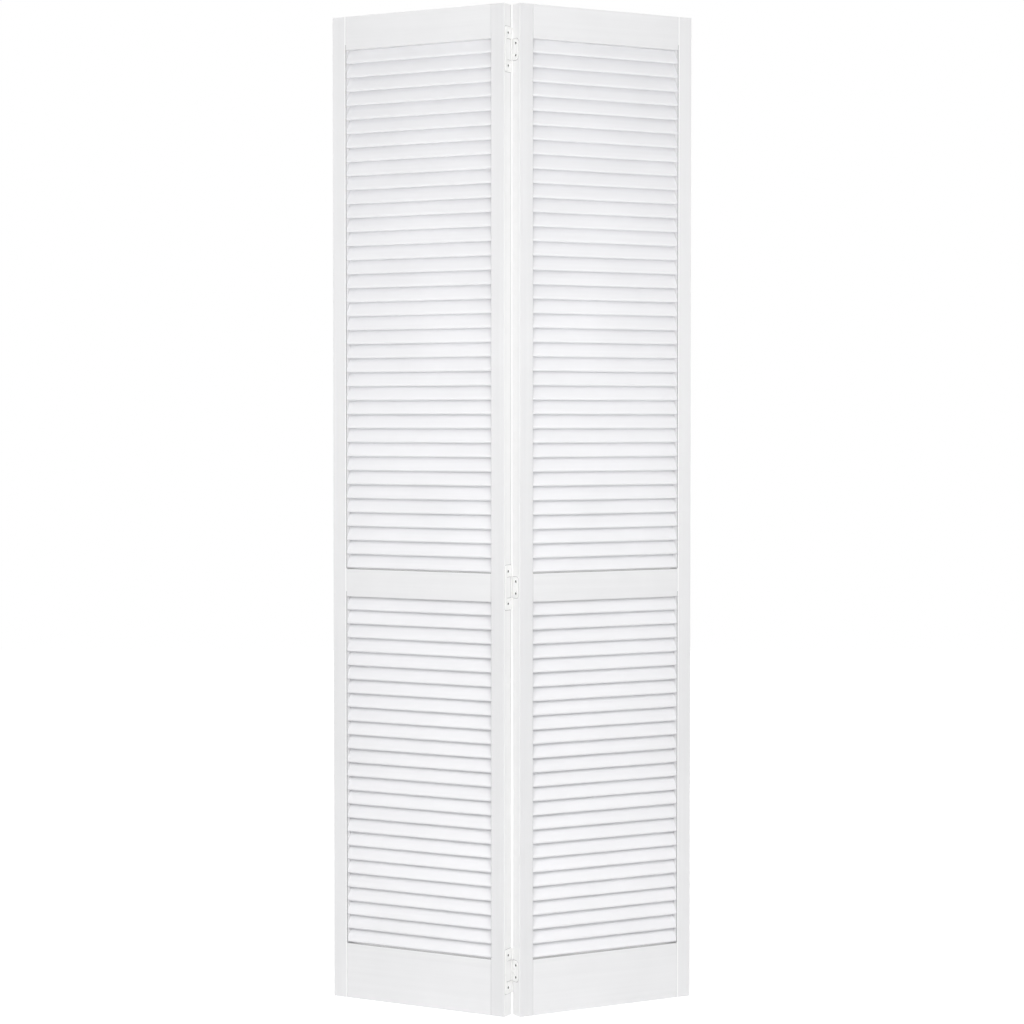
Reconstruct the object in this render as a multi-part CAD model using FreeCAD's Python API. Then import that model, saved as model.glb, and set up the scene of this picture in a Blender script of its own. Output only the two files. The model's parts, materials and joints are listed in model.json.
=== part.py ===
import FreeCAD, Part

import math
import os

# Louvred bifold closet door: two timber leaves of fixed slats, joined by three hinges.
#
# Each leaf is drawn in its own frame, with the hinge axis as Z and the leaf along +X. Its front
# face looks along -Y. The lead leaf is turned about the hinge axis by the rest angle, and the
# pivot leaf is its mirror image. The part's frame has +Z up and its origin in the middle of the
# bottom of the partly folded door, whose hinged edges point along -Y. All sizes are in mm.

# Leaf and frame
DOOR_HEIGHT = 2006.6
LEAF_WIDTH = 400.05
LEAF_THICKNESS = 28.575
REST_ANGLE = 28.63  # of each leaf from flat, degrees
OUTER_STILE_WIDTH = 31.75
HINGE_STILE_WIDTH = 30.2
TOP_RAIL_HEIGHT = 67.2
LOCK_RAIL_HEIGHT = 57.15
LOCK_RAIL_CENTRE = 854.4  # above the bottom of the door
BOTTOM_RAIL_HEIGHT = 113.2
ARRIS = 1.0  # radius of the eased edges

# Slats
SLAT_WIDTH = 42.9
SLAT_THICKNESS = 6.35
SLAT_ANGLE = 60.0  # above the horizontal, front edge low, degrees
SLAT_PITCH = 28.52  # nominal: each bank is divided evenly
SLAT_TENON = 7.0  # length of a slat's end inside its mortise
MORTISE_CLEARANCE = 0.15
MORTISE_END_CLEARANCE = 0.4
RAIL_CLEARANCE = 0.4  # between a bank's last slat and the rail above it
NOSE_CLEARANCE = 0.9  # between a bank's first slat and the rail below it

# Dowels
DOWEL_DIAMETER = 9.525
DOWEL_SPACING = 22.0  # of the two dowels in an end of the top or lock rail
BOTTOM_DOWEL_SPACING = 64.0
DOWEL_IN_RAIL = 26.0
DOWEL_TIP = 1.0  # chamfer at each end of a dowel
DOWEL_CLEARANCE = 0.05
DOWEL_END_CLEARANCE = 0.3
DOWEL_TO_BORE = 2.0  # wood left between a dowel hole and a pivot bore

# Bores for the pivots and the guide, in the ends of the outer stiles
PIVOT_BORE_DIAMETER = 9.525
PIVOT_BORE_DEPTH = 32.0
PIVOT_BORE_INSET = 12.7  # of its axis from the leaf's outer edge

# Hinges
EDGE_GAP = 1.6  # between the door edges when the leaves are flat
HINGE_HEIGHT = 89.0
HINGE_INSET = 89.0  # of the top and bottom hinges' middles from the ends of the door
PLATE_THICKNESS = 1.2
OUTER_PLATE_REACH = 28.0  # from the hinge axis
OUTER_PLATE_CORNER = 4.0
CUT_OUT_HEIGHT = 42.6
CUT_OUT_REACH = 25.4  # from the hinge axis
NEST_CLEARANCE = 0.4  # between the inner plate and the cut-out
CUT_OUT_CORNER = 8.0
PIN_DIAMETER = 2.2
PIN_CLEARANCE = 0.05
PIN_TIP = 0.4  # chamfer at each end of the pin
KNUCKLE_GAP = 0.4
BARREL_CLEARANCE = 0.15  # between the barrel and the eased back edges of the leaves
OUTER_SCREW_SPACING = 64.6
INNER_SCREW_SPACING = 24.0

# Countersunk wood screws
SCREW_LENGTH = 16.0
SCREW_DIAMETER = 3.5
SCREW_HEAD_DIAMETER = 6.6
SCREW_TIP = 3.0  # length of the pointed end
SCREW_CLEARANCE = 0.05
PILOT_END_CLEARANCE = 0.5
RECESS_WIDTH = 3.4  # of the cross recess, from arm end to arm end
RECESS_ARM = 0.8
RECESS_DEPTH = 1.5

# Values that follow from the ones above
OVER = 1.0  # overshoot of the cutting tools, which leaves no mark
PIN_RADIUS = PIN_DIAMETER / 2
BARREL_RADIUS = PIN_RADIUS + PIN_CLEARANCE + PLATE_THICKNESS
HINGE_EDGE = EDGE_GAP / 2  # X of a leaf's hinged edge
AXIS_TO_ARRIS = BARREL_RADIUS + BARREL_CLEARANCE + ARRIS  # to the middle of an eased edge's round
BACK = ARRIS - math.sqrt(AXIS_TO_ARRIS ** 2 - (HINGE_EDGE + ARRIS) ** 2)  # Y of a leaf's back face
FRONT = BACK - LEAF_THICKNESS  # Y of a leaf's front face
MIDDLE = (FRONT + BACK) / 2
OUTER_EDGE = HINGE_EDGE + LEAF_WIDTH
OPENING_START = HINGE_EDGE + HINGE_STILE_WIDTH
OPENING_END = OUTER_EDGE - OUTER_STILE_WIDTH
LOCK_RAIL_BOTTOM = LOCK_RAIL_CENTRE - LOCK_RAIL_HEIGHT / 2
LOCK_RAIL_TOP = LOCK_RAIL_CENTRE + LOCK_RAIL_HEIGHT / 2
TOP_RAIL_BOTTOM = DOOR_HEIGHT - TOP_RAIL_HEIGHT
PIVOT_BORE_X = OUTER_EDGE - PIVOT_BORE_INSET
DOWEL_RADIUS = DOWEL_DIAMETER / 2
DOWEL_IN_STILE = (OUTER_STILE_WIDTH - PIVOT_BORE_INSET - PIVOT_BORE_DIAMETER / 2
                  - DOWEL_TO_BORE - DOWEL_END_CLEARANCE)
SLAT_RADIUS = SLAT_THICKNESS / 2
SLAT_RUN = (SLAT_WIDTH - SLAT_THICKNESS) * math.cos(math.radians(SLAT_ANGLE))
SLAT_RISE = (SLAT_WIDTH - SLAT_THICKNESS) * math.sin(math.radians(SLAT_ANGLE))
NOSE_Y = MIDDLE - SLAT_RUN / 2  # middle of the nose's round, so that slats sit mid-thickness
HINGE_HEIGHTS = {
    "top": DOOR_HEIGHT - HINGE_INSET,
    "middle": LOCK_RAIL_CENTRE,
    "bottom": HINGE_INSET,
}

UP = FreeCAD.Vector(0, 0, 1)
ALONG = FreeCAD.Vector(1, 0, 0)


def box(x, y, z):
    """A box between two limits along each axis."""
    corner = FreeCAD.Vector(x[0], y[0], z[0])
    return Part.makeBox(x[1] - x[0], y[1] - y[0], z[1] - z[0], corner)


def rod(radius, start, direction, length):
    return Part.makeCylinder(radius, length, FreeCAD.Vector(*start), direction)


def edges_where(shape, test):
    """The straight edges whose two ends both pass the test."""
    return [e for e in shape.Edges if all(test(v.Point) for v in e.Vertexes)]


def near(a, b):
    return abs(a - b) < 1e-6


def on_a_face(point):
    return near(point.y, FRONT) or near(point.y, BACK)


def along(edge, axis):
    start, end = (v.Point for v in edge.Vertexes)
    return near((end - start).normalize().dot(axis) ** 2, 1)


# ---------------------------------------------------------------- slats

def slat_section(nose_bottom, x, grow):
    """Face of a slat's obround section, or with grow, that of its mortise."""
    radius = SLAT_RADIUS + grow
    nose = FreeCAD.Vector(x, NOSE_Y, nose_bottom + SLAT_RADIUS)
    tail = nose + FreeCAD.Vector(0, SLAT_RUN, SLAT_RISE)
    lengthwise = (tail - nose).normalize()
    across = ALONG.cross(lengthwise) * radius
    nose_arc = Part.Arc(nose - across, nose - lengthwise * radius, nose + across)
    tail_arc = Part.Arc(tail + across, tail + lengthwise * radius, tail - across)
    sides = [Part.LineSegment(nose + across, tail + across),
             Part.LineSegment(tail - across, nose - across)]
    outline = [nose_arc, sides[0], tail_arc, sides[1]]
    return Part.Face(Part.Wire([curve.toShape() for curve in outline]))


def nose_heights(bottom, top):
    """Heights of the slats' lowest lines in a bank between two rails."""
    count = max(1, round((top - bottom) / SLAT_PITCH))
    spacing = (top - bottom) / count
    return [bottom + NOSE_CLEARANCE + k * spacing for k in range(count)]


LOWER_BANK = nose_heights(BOTTOM_RAIL_HEIGHT, LOCK_RAIL_BOTTOM)
UPPER_BANK = nose_heights(LOCK_RAIL_TOP, TOP_RAIL_BOTTOM)


def rebate_top(bank):
    """Height that the rail above a bank is rebated to, to clear the bank's top slat."""
    return bank[-1] + SLAT_THICKNESS + SLAT_RISE + RAIL_CLEARANCE


def slats(bank):
    start = OPENING_START - SLAT_TENON
    length = OPENING_END - OPENING_START + 2 * SLAT_TENON
    return [slat_section(z, start, 0).extrude(ALONG * length) for z in bank]


def mortises(opening_edge, direction):
    """Cutting tools for one stile's mortises, sunk from the edge of the opening."""
    depth = direction * (SLAT_TENON + MORTISE_END_CLEARANCE)
    start = opening_edge - direction * OVER
    tools = []
    for z in LOWER_BANK + UPPER_BANK:
        section = slat_section(z, start, MORTISE_CLEARANCE)
        tools.append(section.extrude(ALONG * (depth + direction * OVER)))
    return tools


# ---------------------------------------------------------------- dowels

def dowel_heights(rail):
    """Middles of the two dowels in each end of a rail, about the middle of its full thickness."""
    middle = {
        "top": (rebate_top(UPPER_BANK) + DOOR_HEIGHT) / 2,
        "lock": (rebate_top(LOWER_BANK) + LOCK_RAIL_TOP) / 2,
        "bottom": BOTTOM_RAIL_HEIGHT / 2,
    }[rail]
    spacing = BOTTOM_DOWEL_SPACING if rail == "bottom" else DOWEL_SPACING
    return [middle - spacing / 2, middle + spacing / 2]


def dowels(rail):
    length = DOWEL_IN_STILE + DOWEL_IN_RAIL
    pieces = []
    for z in dowel_heights(rail):
        for start in (OPENING_START - DOWEL_IN_STILE, OPENING_END - DOWEL_IN_RAIL):
            dowel = rod(DOWEL_RADIUS, (start, MIDDLE, z), ALONG, length)
            rims = [e for e in dowel.Edges if near(e.Length, math.tau * DOWEL_RADIUS)]
            pieces.append(dowel.makeChamfer(DOWEL_TIP, rims))
    return pieces


def dowel_holes(rail):
    """Cutting tools that reach into both the rail and its stiles."""
    stile_depth = DOWEL_IN_STILE + DOWEL_END_CLEARANCE
    rail_depth = DOWEL_IN_RAIL + DOWEL_END_CLEARANCE
    radius = DOWEL_RADIUS + DOWEL_CLEARANCE
    tools = []
    for z in dowel_heights(rail):
        for start in (OPENING_START - stile_depth, OPENING_END - rail_depth):
            tools.append(rod(radius, (start, MIDDLE, z), ALONG, stile_depth + rail_depth))
    return tools


# ---------------------------------------------------------------- stiles and rails

def stile(start, end):
    """A stile's bar, with all four long edges eased."""
    bar = box((start, end), (FRONT, BACK), (0, DOOR_HEIGHT))
    return bar.makeFillet(ARRIS, [e for e in bar.Edges if along(e, UP)])


def all_dowel_holes():
    return dowel_holes("top") + dowel_holes("lock") + dowel_holes("bottom")


def pivot_bore(end):
    radius = PIVOT_BORE_DIAMETER / 2
    bottom = DOOR_HEIGHT - PIVOT_BORE_DEPTH if end == "top" else -OVER
    return rod(radius, (PIVOT_BORE_X, MIDDLE, bottom), UP, PIVOT_BORE_DEPTH + OVER)


def outer_stile(bored_ends):
    bar = stile(OPENING_END, OUTER_EDGE)
    tools = mortises(OPENING_END, 1) + all_dowel_holes()
    return bar.cut(tools + [pivot_bore(end) for end in bored_ends])


def hinge_stile(screw_spacing):
    bar = stile(HINGE_EDGE, OPENING_START)
    tools = mortises(OPENING_START, -1) + all_dowel_holes()
    for middle in HINGE_HEIGHTS.values():
        tools += [screw_solid(z, SCREW_CLEARANCE) for z in screw_heights(middle, screw_spacing)]
    return bar.cut(tools)


def rail(bottom, top, eased_heights):
    """A rail's bar. Its ends are eased, and so are its edges along the slats."""
    bar = box((OPENING_START, OPENING_END), (FRONT, BACK), (bottom, top))
    eased = [e for e in edges_where(bar, on_a_face) if along(e, UP)]
    for height in eased_heights:
        at_height = edges_where(bar, lambda p: near(p.z, height) and on_a_face(p))
        eased += [e for e in at_height if along(e, ALONG)]
    return bar.makeFillet(ARRIS, eased)


def slat_rebate(bank, rail_bottom):
    """Cutting tool for the rebate behind a rail's lower edge, which the top slat runs into."""
    nose_z = bank[-1] + SLAT_RADIUS
    angle = math.radians(SLAT_ANGLE)
    up_the_slat = (rail_bottom - nose_z - SLAT_RADIUS * math.cos(angle)) / math.sin(angle)
    slat_front = NOSE_Y + up_the_slat * math.cos(angle) - SLAT_RADIUS * math.sin(angle)
    return box((OPENING_START - OVER, OPENING_END + OVER),
               (slat_front - RAIL_CLEARANCE, BACK + OVER),
               (rail_bottom - OVER, rebate_top(bank)))


def top_rail():
    bar = rail(TOP_RAIL_BOTTOM, DOOR_HEIGHT, [TOP_RAIL_BOTTOM])
    return bar.cut(dowel_holes("top") + [slat_rebate(UPPER_BANK, TOP_RAIL_BOTTOM)])


def lock_rail():
    bar = rail(LOCK_RAIL_BOTTOM, LOCK_RAIL_TOP, [LOCK_RAIL_BOTTOM, LOCK_RAIL_TOP])
    return bar.cut(dowel_holes("lock") + [slat_rebate(LOWER_BANK, LOCK_RAIL_BOTTOM)])


def bottom_rail():
    bar = rail(0, BOTTOM_RAIL_HEIGHT, [BOTTOM_RAIL_HEIGHT])
    return bar.cut(dowel_holes("bottom"))


# ---------------------------------------------------------------- hinges

def screw_heights(middle, spacing):
    return [middle - spacing / 2, middle + spacing / 2]


def screw_solid(z, grow):
    """A countersunk screw driven along +X through a plate. With grow, its hole."""
    face = HINGE_EDGE - PLATE_THICKNESS
    shank = SCREW_DIAMETER / 2 + grow
    head = SCREW_HEAD_DIAMETER / 2 + grow
    end = face + SCREW_LENGTH + (PILOT_END_CLEARANCE if grow else 0)
    outline = [
        (face, 0),
        (face, head),
        (face + head - shank, shank),
        (end - SCREW_TIP, shank),
        (end, 0),
    ]
    points = [FreeCAD.Vector(x, MIDDLE + r, z) for x, r in outline]
    half = Part.Face(Part.makePolygon(points + points[:1]))
    return half.revolve(FreeCAD.Vector(0, MIDDLE, z), ALONG, 360)


def screws(middle, spacing):
    """Two screws with a cross recess in each head."""
    face = HINGE_EDGE - PLATE_THICKNESS
    pieces = []
    for z in screw_heights(middle, spacing):
        recess = []
        for width, height in ((RECESS_WIDTH, RECESS_ARM), (RECESS_ARM, RECESS_WIDTH)):
            recess.append(box((face - OVER, face + RECESS_DEPTH),
                              (MIDDLE - width / 2, MIDDLE + width / 2),
                              (z - height / 2, z + height / 2)))
        pieces.append(screw_solid(z, 0).cut(recess))
    return pieces


def plate(reach, bottom, top, corner):
    """A flat hinge plate from the axis to its reach, with its far corners rounded."""
    x = (HINGE_EDGE - PLATE_THICKNESS, HINGE_EDGE)
    flat = box(x, (-reach, 0), (bottom, top))
    corners = edges_where(flat, lambda p: near(p.y, -reach) and (near(p.z, bottom) or near(p.z, top)))
    return flat.makeFillet(corner, [e for e in corners if along(e, ALONG)])


def knuckle(bottom, top):
    return rod(BARREL_RADIUS, (0, 0, bottom), UP, top - bottom)


def outer_hinge_leaf(middle):
    """The C-shaped leaf with a knuckle at each end, which holds the pin."""
    bottom, top = middle - HINGE_HEIGHT / 2, middle + HINGE_HEIGHT / 2
    low, high = middle - CUT_OUT_HEIGHT / 2, middle + CUT_OUT_HEIGHT / 2
    cut_out = box((-BARREL_RADIUS - OVER, BARREL_RADIUS + OVER),
                  (-CUT_OUT_REACH, BARREL_RADIUS + OVER), (low, high))
    far = edges_where(cut_out, lambda p: near(p.y, -CUT_OUT_REACH))
    cut_out = cut_out.makeFillet(CUT_OUT_CORNER, [e for e in far if along(e, ALONG)])
    leaf = plate(OUTER_PLATE_REACH, bottom, top, OUTER_PLATE_CORNER)
    leaf = leaf.fuse([knuckle(bottom, low), knuckle(high, top)]).removeSplitter()
    pin_hole = rod(PIN_RADIUS, (0, 0, bottom - OVER), UP, HINGE_HEIGHT + 2 * OVER)
    holes = [screw_solid(z, 0) for z in screw_heights(middle, OUTER_SCREW_SPACING)]
    return leaf.cut([cut_out, pin_hole] + holes)


def inner_hinge_leaf(middle):
    """The leaf that nests in the outer one's cut-out and turns on the pin."""
    half = CUT_OUT_HEIGHT / 2 - KNUCKLE_GAP
    bottom, top = middle - half, middle + half
    corner = CUT_OUT_CORNER
    leaf = plate(CUT_OUT_REACH - NEST_CLEARANCE, bottom, top, corner)
    leaf = leaf.fuse(knuckle(bottom, top)).removeSplitter()
    pin_hole = rod(PIN_RADIUS + PIN_CLEARANCE, (0, 0, bottom - OVER), UP, 2 * (half + OVER))
    holes = [screw_solid(z, 0) for z in screw_heights(middle, INNER_SCREW_SPACING)]
    return leaf.cut([pin_hole] + holes)


def hinge_pin(middle):
    pin = rod(PIN_RADIUS, (0, 0, middle - HINGE_HEIGHT / 2), UP, HINGE_HEIGHT)
    rims = [e for e in pin.Edges if near(e.Length, math.tau * PIN_RADIUS)]
    return pin.makeChamfer(PIN_TIP, rims)


# ---------------------------------------------------------------- the whole door

def axis_setback():
    """Y of the hinge axis, which puts the origin in the middle of the folded door's depth."""
    angle = math.radians(REST_ANGLE)
    sin, cos = math.sin(angle), math.cos(angle)
    nearest = (HINGE_EDGE + ARRIS) * sin + (FRONT + ARRIS) * cos - ARRIS
    furthest = (OUTER_EDGE - ARRIS) * sin + (BACK - ARRIS) * cos + ARRIS
    return -(nearest + furthest) / 2


AXIS_Y = axis_setback()


def as_lead_leaf(shape):
    turned = shape.copy()
    turned.rotate(FreeCAD.Vector(0, 0, 0), UP, REST_ANGLE)
    turned.translate(FreeCAD.Vector(0, AXIS_Y, 0))
    return turned


def as_pivot_leaf(shape):
    return as_lead_leaf(shape).mirror(FreeCAD.Vector(0, 0, 0), ALONG)


def timber_pieces():
    """The pieces that both leaves have, drawn once in the leaf's own frame."""
    return {
        "top_rail": [top_rail()],
        "lock_rail": [lock_rail()],
        "bottom_rail": [bottom_rail()],
        "top_rail_dowels": dowels("top"),
        "lock_rail_dowels": dowels("lock"),
        "bottom_rail_dowels": dowels("bottom"),
        "upper_slats": slats(UPPER_BANK),
        "lower_slats": slats(LOWER_BANK),
    }


def write(node, solids):
    shape = solids[0] if len(solids) == 1 else Part.makeCompound(solids)
    good = shape.isValid() and len(shape.Solids) == len(solids)
    if not good:
        raise RuntimeError(f"{node} isn't a set of sound solids")
    shape.exportStep(os.path.join("parts", node + ".step"))


def main():
    os.makedirs("parts", exist_ok=True)
    pivot = {
        "outer_stile": [outer_stile(["top", "bottom"])],
        "hinge_stile": [hinge_stile(OUTER_SCREW_SPACING)],
    }
    lead = {
        "outer_stile": [outer_stile(["top"])],
        "hinge_stile": [hinge_stile(INNER_SCREW_SPACING)],
    }
    shared = timber_pieces()
    pivot.update(shared)
    lead.update(shared)
    for name, middle in HINGE_HEIGHTS.items():
        pivot[f"{name}_hinge_outer_leaf"] = [outer_hinge_leaf(middle)]
        pivot[f"{name}_hinge_outer_screws"] = screws(middle, OUTER_SCREW_SPACING)
        pivot[f"{name}_hinge_pin"] = [hinge_pin(middle)]
        lead[f"{name}_hinge_inner_leaf"] = [inner_hinge_leaf(middle)]
        lead[f"{name}_hinge_inner_screws"] = screws(middle, INNER_SCREW_SPACING)
    for leaf_name, pieces, place in (("pivot", pivot, as_pivot_leaf), ("lead", lead, as_lead_leaf)):
        for name, solids in pieces.items():
            node = name if "_hinge_" in name else f"{leaf_name}_{name}"
            write(node, [place(solid) for solid in solids])


main()
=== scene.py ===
import json
import math
import random
from functools import partial

import bmesh
import bpy
from bpy.props import FloatProperty, FloatVectorProperty, IntProperty, PointerProperty
from mathutils import Matrix, Vector


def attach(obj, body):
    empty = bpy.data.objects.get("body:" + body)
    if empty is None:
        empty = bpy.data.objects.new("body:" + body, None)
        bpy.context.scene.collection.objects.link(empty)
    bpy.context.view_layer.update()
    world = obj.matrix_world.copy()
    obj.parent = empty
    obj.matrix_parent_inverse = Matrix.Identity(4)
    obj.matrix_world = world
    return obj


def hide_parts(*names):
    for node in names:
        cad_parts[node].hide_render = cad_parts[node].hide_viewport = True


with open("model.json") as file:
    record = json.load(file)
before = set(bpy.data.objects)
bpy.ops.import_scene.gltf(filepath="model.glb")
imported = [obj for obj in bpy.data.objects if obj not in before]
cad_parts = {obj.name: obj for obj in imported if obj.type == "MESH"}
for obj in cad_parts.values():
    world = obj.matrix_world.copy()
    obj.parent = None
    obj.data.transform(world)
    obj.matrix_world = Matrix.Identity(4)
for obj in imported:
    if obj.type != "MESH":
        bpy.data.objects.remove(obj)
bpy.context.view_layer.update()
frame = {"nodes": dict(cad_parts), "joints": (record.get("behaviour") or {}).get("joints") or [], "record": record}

bl_info = {
    "name": "Louvred bifold door",
    "version": (1, 0, 0),
    "blender": (4, 5, 0),
    "location": "View3D > Sidebar > Louvred door",
    "description": "Gives a louvred bifold door its slats, hinges and finishes, and lights it",
    "category": "Object",
}

MM = 0.001
SAME_POINT = 0.001 * MM


def linear(hex_colour):
    """An sRGB hex colour as the linear RGBA that shaders and colour properties take."""
    channels = [int(hex_colour[i:i + 2], 16) / 255 for i in (1, 3, 5)]
    return tuple(c / 12.92 if c <= 0.04045 else ((c + 0.055) / 1.055) ** 2.4 for c in channels) + (1.0,)


# ---------------------------------------------------------------- what the frame says

FOLD = frame["joints"][0]
AXIS = Vector(FOLD["pos_m"])
LEAF_ANGLE = -math.radians(FOLD["range_deg"][0]) / 2  # of each leaf from flat, as the door stands
LEAVES = ("pivot", "lead")
BANKS = ("upper", "lower")
RAILS = ("top", "lock", "bottom")
HINGES = ("top", "middle", "bottom")

# The lead leaf's own frame has the hinge axis as Z, the leaf along +X and its front face towards
# -Y. The pivot leaf's is the mirror image.
LEAD_PLACE = Matrix.Translation((0, AXIS.y, 0)) @ Matrix.Rotation(LEAF_ANGLE, 4, "Z")
PLACES = {"lead": LEAD_PLACE, "pivot": Matrix.Scale(-1, 4, (1, 0, 0)) @ LEAD_PLACE}


def corners_of(points):
    """Low and high corners of the box round some points."""
    low = Vector([min(p[k] for p in points) for k in range(3)])
    high = Vector([max(p[k] for p in points) for k in range(3)])
    return low, high


def solids(node, leaf):
    """Low and high corners, in the leaf's frame, of each solid in a CAD node, lowest first."""
    shape = bmesh.new()
    shape.from_mesh(frame["nodes"][node].data)
    bmesh.ops.remove_doubles(shape, verts=shape.verts, dist=SAME_POINT)
    bmesh.ops.transform(shape, matrix=PLACES[leaf].inverted(), verts=shape.verts)
    unseen = set(shape.verts)
    boxes = []
    while unseen:
        reached = [unseen.pop()]
        for vertex in reached:
            neighbours = {edge.other_vert(vertex) for edge in vertex.link_edges} & unseen
            unseen -= neighbours
            reached.extend(neighbours)
        boxes.append(corners_of([vertex.co for vertex in reached]))
    shape.free()
    return sorted(boxes, key=lambda box: (box[0].z, box[0].x))


HINGE_STILE = solids("lead_hinge_stile", "lead")[0]
OUTER_STILE = solids("lead_outer_stile", "lead")[0]
HINGE_EDGE, OPENING_START = HINGE_STILE[0].x, HINGE_STILE[1].x
OPENING_END = OUTER_STILE[0].x
FRONT, BACK = HINGE_STILE[0].y, HINGE_STILE[1].y


# ---------------------------------------------------------------- settings

class PaintSettings(bpy.types.PropertyGroup):
    frame_paint: FloatVectorProperty(
        name="Frame paint", description="Satin enamel on the stiles and rails",
        subtype="COLOR", size=4, min=0, max=1, default=linear("#EDEDEE"))
    # Painted shade: the hinge stiles' enamel is a darker copy of the frame's, making up for the extra light that
    # falls on them.
    shaded_stile_paint: FloatVectorProperty(
        name="Handled paint", description="The same enamel on the hinge stiles, greyed by hands",
        subtype="COLOR", size=4, min=0, max=1, default=linear("#E7E7E8"))
    # Painted highlight: the meeting edges' enamel is whiter than the faces', making up for the light that the fold
    # between the leaves keeps from them.
    lit_edge_paint: FloatVectorProperty(
        name="Edge paint", description="Thicker, whiter coat on the meeting edges",
        subtype="COLOR", size=4, min=0, max=1, default=linear("#F5F5F5"))
    # Painted highlight: a whiter line along the outer stiles' inner arrises, where the arris catches light.
    arris_highlight_paint: FloatVectorProperty(
        name="Bead", description="Paint that ran together along the outer stiles' inner arrises",
        subtype="COLOR", size=4, min=0, max=1, default=linear("#FCFCFC"))
    # Painted light: the slats' enamel is a lighter copy of the frame's, making up for the shade between the slats.
    slat_paint: FloatVectorProperty(
        name="Slat paint", description="Satin enamel on the slats",
        subtype="COLOR", size=4, min=0, max=1, default=linear("#F3F3F5"))
    joint_line: FloatVectorProperty(
        name="Joint line", description="Hairline in the paint over the joints of the frame",
        subtype="COLOR", size=4, min=0, max=1, default=linear("#DEDEDF"))
    # Painted shade: a grey for the shadow along the rails' top arrises and where the slats enter the stiles.
    crevice_shade: FloatVectorProperty(
        name="Dust", description="Dust along the ledges and where the slats enter the stiles",
        subtype="COLOR", size=4, min=0, max=1, default=linear("#A8A8A9"))
    # Painted shade: a grey for the shadow along the pivot leaf's back arris, in the gap between the leaves.
    seam_shade_paint: FloatVectorProperty(
        name="Rubbed paint", description="Greyed coat where the leaves rub as they fold",
        subtype="COLOR", size=4, min=0, max=1, default=linear("#DADADA"))
    # Painted shadow: a grey line round each hinge plate, for the shadow at its rim on the timber.
    plate_shadow: FloatVectorProperty(
        name="Plate line", description="Grime in the angle between the hinge leaves and the timber",
        subtype="COLOR", size=4, min=0, max=1, default=linear("#B8B8B8"))
    hinge_enamel: FloatVectorProperty(
        name="Hinge enamel", description="Stoved enamel on the hinge leaves and screws",
        subtype="COLOR", size=4, min=0, max=1, default=linear("#FCFCFB"))
    roughness: FloatProperty(
        name="Paint roughness", description="How matt the paint on the timber is",
        subtype="FACTOR", min=0, max=1, default=0.45)


class TimberSettings(bpy.types.PropertyGroup):
    slat_thickness: FloatProperty(
        name="Slat thickness", description="Of each slat", unit="LENGTH", default=6.35 * MM)
    slat_bow: FloatProperty(
        name="Slat bow", description="The most that a slat bends from straight at its middle",
        unit="LENGTH", min=0, default=0.4 * MM)
    slat_twist: FloatProperty(
        name="Slat twist", description="The most that a slat leans from its mortise's angle",
        subtype="ANGLE", min=0, default=math.radians(0.35))
    dowel_flute: FloatProperty(
        name="Dowel flute", description="Depth of the glue flutes along the dowels",
        unit="LENGTH", min=0, default=0.3 * MM)
    seed: IntProperty(name="Seed", description="Of the slats' small differences", default=7)


class HingeSettings(bpy.types.PropertyGroup):
    plate: FloatProperty(
        name="Plate", description="Thickness of the hinge leaves' steel", unit="LENGTH",
        default=1.2 * MM)
    nest_gap: FloatProperty(
        name="Nest gap", description="Between the inner leaf and the outer leaf's cut-out",
        unit="LENGTH", default=0.4 * MM)
    outer_corner: FloatProperty(
        name="Outer corner", description="Radius of the outer leaf's corners", unit="LENGTH",
        default=4 * MM)
    nest_corner: FloatProperty(
        name="Nest corner", description="Radius of the inner leaf's and the cut-out's corners",
        unit="LENGTH", default=8 * MM)
    soft_rim: FloatProperty(
        name="Soft rim", description="Rounding that pressing and enamel give the plates' rims",
        unit="LENGTH", default=0.25 * MM)
    recess_span: FloatProperty(
        name="Recess span", description="Of the screws' cross recess, from arm end to arm end",
        unit="LENGTH", default=5.0 * MM)
    recess_arm: FloatProperty(
        name="Recess arm", description="Width of an arm of the cross recess", unit="LENGTH",
        default=2.3 * MM)
    recess_depth: FloatProperty(
        name="Recess depth", description="Of the cross recess", unit="LENGTH", default=2.2 * MM)
    thread_pitch: FloatProperty(
        name="Thread pitch", description="Of the wood screws", unit="LENGTH", default=1.6 * MM)


class StageSettings(bpy.types.PropertyGroup):
    camera_distance: FloatProperty(
        name="Camera distance", description="From the middle of the door to the camera",
        unit="LENGTH", min=1, default=5.1415)
    camera_height: FloatProperty(
        name="Camera height", description="Above the floor", unit="LENGTH", min=0, default=1.1847)
    camera_tilt: FloatProperty(
        name="Camera tilt", description="Below the horizontal",
        subtype="ANGLE", default=math.radians(1.586))
    camera_lens: FloatProperty(
        name="Lens", description="Focal length on a 36 mm wide sensor, in mm", min=20, default=89.57)
    camera_shift: FloatProperty(
        name="Camera shift", description="Lens shift as a share of the image's width", default=-0.02)
    key_power: FloatProperty(
        name="Key lights", description="Power of each of the two soft boxes, left and right",
        unit="POWER", min=0, default=3.9)
    key_beam: FloatProperty(
        name="Key beam", description="Angle of the key boxes' beams",
        subtype="ANGLE", default=math.radians(65))
    fill_power: FloatProperty(
        name="Fill light", description="Power of the soft box in front, aimed at the upper slats",
        unit="POWER", min=0, default=7.4)
    fill_beam: FloatProperty(
        name="Fill beam", description="Angle of the front box's beam",
        subtype="ANGLE", default=math.radians(60))
    back_power: FloatProperty(
        name="Back light", description="Power of the soft box behind the door",
        unit="POWER", min=0, default=20.0)
    room_light: FloatProperty(
        name="Room light", description="Strength of the even light from all round",
        min=0, default=0.65)


# ---------------------------------------------------------------- node trees

MIX_PLAIN, MIX_OVER = 6, 7  # the Mix node's colour inputs, whose names other inputs share


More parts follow.
